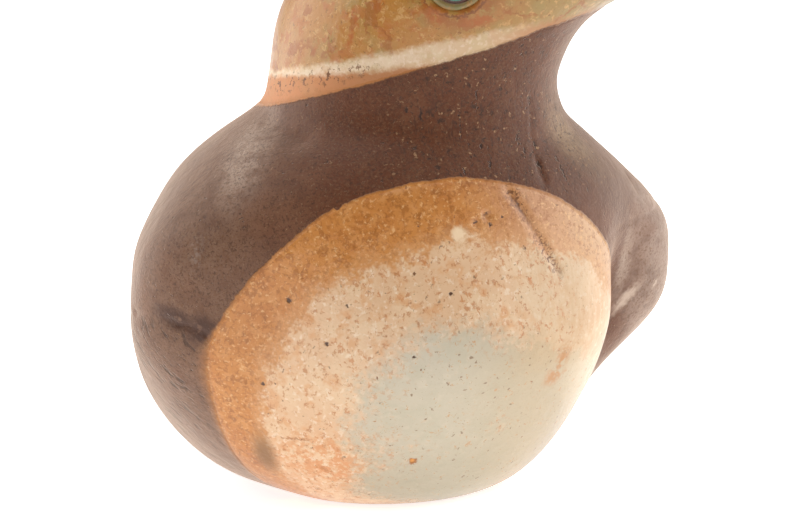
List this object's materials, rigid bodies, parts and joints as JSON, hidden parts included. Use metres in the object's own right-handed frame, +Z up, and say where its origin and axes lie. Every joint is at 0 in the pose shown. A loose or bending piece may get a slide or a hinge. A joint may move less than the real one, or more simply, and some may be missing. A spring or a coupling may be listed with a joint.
{
  "type": "ceramic bird figurine",
  "caption": "Plump hollow stoneware bird with its head turned, brown clay slip, a dipped speckled belly glaze and an ochre glazed head with glass eyes.",
  "frame": {"origin": "centre of the flat foot, on the surface that the bird stands on", "axes": "+Z up, -Y the way the breast faces, +X the bird's left side; the head is turned to the left, 22 degrees short of +X"},
  "size_m": [0.1243, 0.1394, 0.1349],
  "materials": {
    "brown_slip": "matt",
    "belly_glaze": "satin",
    "head_glaze": "gloss",
    "eye_clay": "satin",
    "eye_glass": "gloss"
  },
  "bodies": {
    "root": {"belly_bowl": "brown_slip", "body_slip_seam": "brown_slip", "back_shell": "brown_slip", "tail": "brown_slip", "neck_slip_seam": "brown_slip", "head_shell": "brown_slip", "bill": "head_glaze", "belly_glaze": "belly_glaze", "head_glaze": "head_glaze", "eye_ring_right": "eye_clay", "eye_pool_right": "eye_glass", "eye_ring_left": "eye_clay", "eye_pool_left": "eye_glass"}
  },
  "joints": []
}
